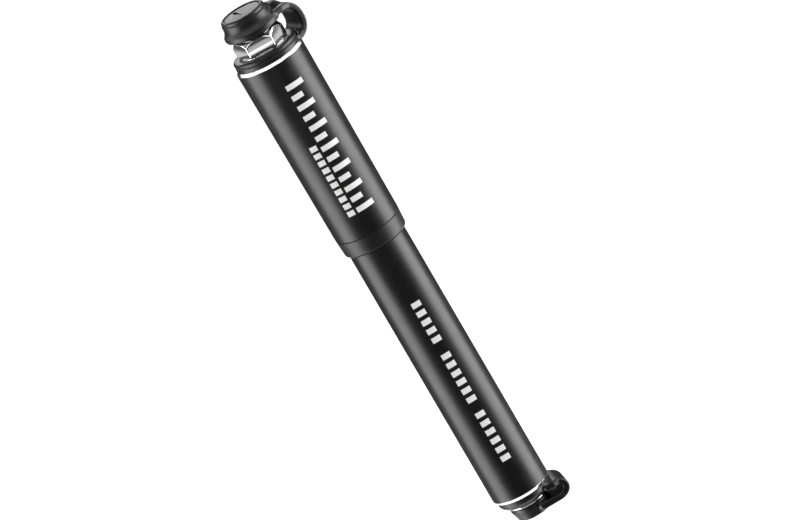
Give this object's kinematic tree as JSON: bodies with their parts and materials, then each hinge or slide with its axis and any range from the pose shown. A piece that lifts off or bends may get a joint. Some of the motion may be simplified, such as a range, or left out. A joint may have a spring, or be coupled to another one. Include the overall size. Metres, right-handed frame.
{
  "type": "mini pump",
  "caption": "Slim bicycle hand pump: a wide handle tube slides over a narrower barrel, with rubber plugs on straps at both ends and a hose stored inside.",
  "frame": {"origin": "on the pump's axis, at the middle of the barrel's bare stretch where a frame bracket clips on", "axes": "+Z along the pump's axis from the barrel to the handle; +X towards the side where the bottom plug's strap is"},
  "size_m": [0.0267, 0.0222, 0.1797],
  "materials": {
    "black_tube": "black anodised, satin gloss",
    "collar": "dark grey, matte",
    "bright_metal": "machined and polished",
    "rod_metal": "satin",
    "bush": "moulded",
    "brass": "turned",
    "steel": "bright",
    "hose_rubber": "satin",
    "seal_rubber": "matte",
    "plug_rubber": "satin-matte"
  },
  "bodies": {
    "barrel": {"barrel_tube": "black_tube", "rod_guide_bush": "bush", "barrel_head": "bright_metal", "head_o_ring": "seal_rubber", "port_gasket": "seal_rubber", "outlet_valve_retainer": "brass", "outlet_valve_spring": "steel", "bottom_plug_ring": "plug_rubber", "bottom_plug_strap": "plug_rubber"},
    "valve_ball": {"outlet_valve_ball": "steel"},
    "piston_seal": {"piston_o_ring": "seal_rubber"},
    "handle": {"piston_head": "rod_metal", "rod_o_ring": "seal_rubber", "piston_rod": "rod_metal", "handle_tube": "black_tube", "handle_collar": "collar", "handle_end_cap": "bright_metal", "hose_hex_fitting": "bright_metal", "valve_gasket": "seal_rubber", "hose_tube": "hose_rubber", "hose_ferrule_upper": "bright_metal", "hose_ferrule_lower": "bright_metal", "hose_end_fitting": "bright_metal", "hose_end_o_ring": "seal_rubber", "top_plug_ring": "plug_rubber", "top_plug_strap": "plug_rubber"},
    "top_plug": {"top_plug_cap": "plug_rubber"},
    "bottom_plug": {"bottom_plug_cap": "plug_rubber"}
  },
  "joints": [
    {"name": "pump_stroke", "type": "slide", "parent": "barrel", "child": "piston_seal", "axis": [0, 0, 1], "range_m": [0, 0.115]},
    {"name": "handle_spin", "type": "hinge", "parent": "piston_seal", "child": "handle", "pos_m": [0, 0, 0.0565], "axis": [0, 0, 1], "continuous": true},
    {"name": "top_plug_hinge", "type": "hinge", "parent": "handle", "child": "top_plug", "pos_m": [0.0127, 0.00513, 0.117], "axis": [-0.3746, 0.9272, 0], "range_deg": [0, 120], "deforming": ["top_plug_strap"]},
    {"name": "bottom_plug_hinge", "type": "hinge", "parent": "barrel", "child": "bottom_plug", "pos_m": [0.012, 0, -0.04905], "axis": [0, -1, 0], "range_deg": [0, 120], "deforming": ["bottom_plug_strap"]},
    {"name": "outlet_valve_lift", "type": "slide", "parent": "barrel", "child": "valve_ball", "axis": [0, 0, -1], "range_m": [0, 0.0005], "stiffness_N_per_m": 100, "springref_m": -0.0003, "deforming": ["outlet_valve_spring"]}
  ]
}
